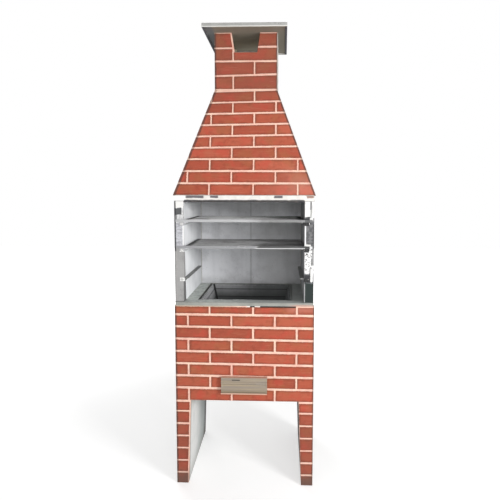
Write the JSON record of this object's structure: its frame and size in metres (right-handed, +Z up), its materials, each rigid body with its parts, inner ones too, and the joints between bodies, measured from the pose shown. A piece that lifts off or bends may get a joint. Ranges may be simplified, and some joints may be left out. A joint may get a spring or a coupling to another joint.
{
  "type": "outdoor masonry barbecue",
  "caption": "Outdoor barbecue of stacked precast plates: brick-relief front, lined fire pit, sliding grill racks, ash drawer, sloping hood and capped chimney.",
  "frame": {"origin": "on the floor, in the middle of the bounding box's footprint", "axes": "+Z up, -Y is the front with the brick relief and the fire opening, +X to the viewer's right"},
  "size_m": [0.65, 0.52, 2.1893],
  "materials": {
    "brick_relief": "matt brick-red masonry paint on cast relief, cream joints",
    "concrete": "fair-faced cast concrete, light grey",
    "refractory": "matt refractory plate, grey",
    "dark_steel": "heat-blackened mild steel",
    "rack_wire": "used steel wire, slightly sooted",
    "bright_steel": "bright drawn steel flat bar",
    "sheet_steel": "brushed galvanised sheet",
    "cast_iron": "rough cast iron, sooted"
  },
  "bodies": {
    "masonry": {"base_side_panel_left": "concrete", "base_side_panel_right": "concrete", "ash_floor": "concrete", "base_back_panel": "concrete", "ash_slope_left": "concrete", "ash_slope_right": "concrete", "hearth_slab": "concrete", "chamber_wall_left": "concrete", "chamber_wall_right": "concrete", "throat_frame": "concrete", "hood_rear": "concrete", "hood_left": "concrete", "hood_right": "concrete", "chimney_rear": "concrete", "chimney_left": "concrete", "chimney_right": "concrete", "chimney_cap": "concrete", "front_apron": "brick_relief", "hood_front": "brick_relief", "chimney_front": "brick_relief", "lining_front": "refractory", "lining_rear": "refractory", "lower_lining_left": "refractory", "lower_lining_right": "refractory", "upper_lining_left": "refractory", "upper_lining_right": "refractory", "back_plate_left": "refractory", "back_plate_right": "refractory", "drawer_runner_left": "dark_steel", "drawer_runner_right": "dark_steel", "lintel_bar": "dark_steel", "lower_rail_left": "dark_steel", "lower_rail_right": "dark_steel", "middle_rail_left": "dark_steel", "middle_rail_right": "dark_steel", "upper_rail_left": "dark_steel", "upper_rail_right": "dark_steel", "charcoal_grate": "cast_iron"},
    "ash_drawer": {"ash_tray": "sheet_steel", "ash_drawer_front": "sheet_steel"},
    "middle_rack": {"middle_rack_grid": "rack_wire", "middle_rack_bar": "bright_steel"},
    "upper_rack": {"upper_rack_grid": "rack_wire", "upper_rack_bar": "bright_steel"}
  },
  "joints": [
    {"name": "ash_drawer_slide", "type": "slide", "parent": "masonry", "child": "ash_drawer", "axis": [0, -1, 0], "range_m": [0, 0.34]},
    {"name": "middle_rack_slide", "type": "slide", "parent": "masonry", "child": "middle_rack", "axis": [0, -1, 0], "range_m": [0, 0.24]},
    {"name": "upper_rack_slide", "type": "slide", "parent": "masonry", "child": "upper_rack", "axis": [0, -1, 0], "range_m": [0, 0.24]}
  ]
}
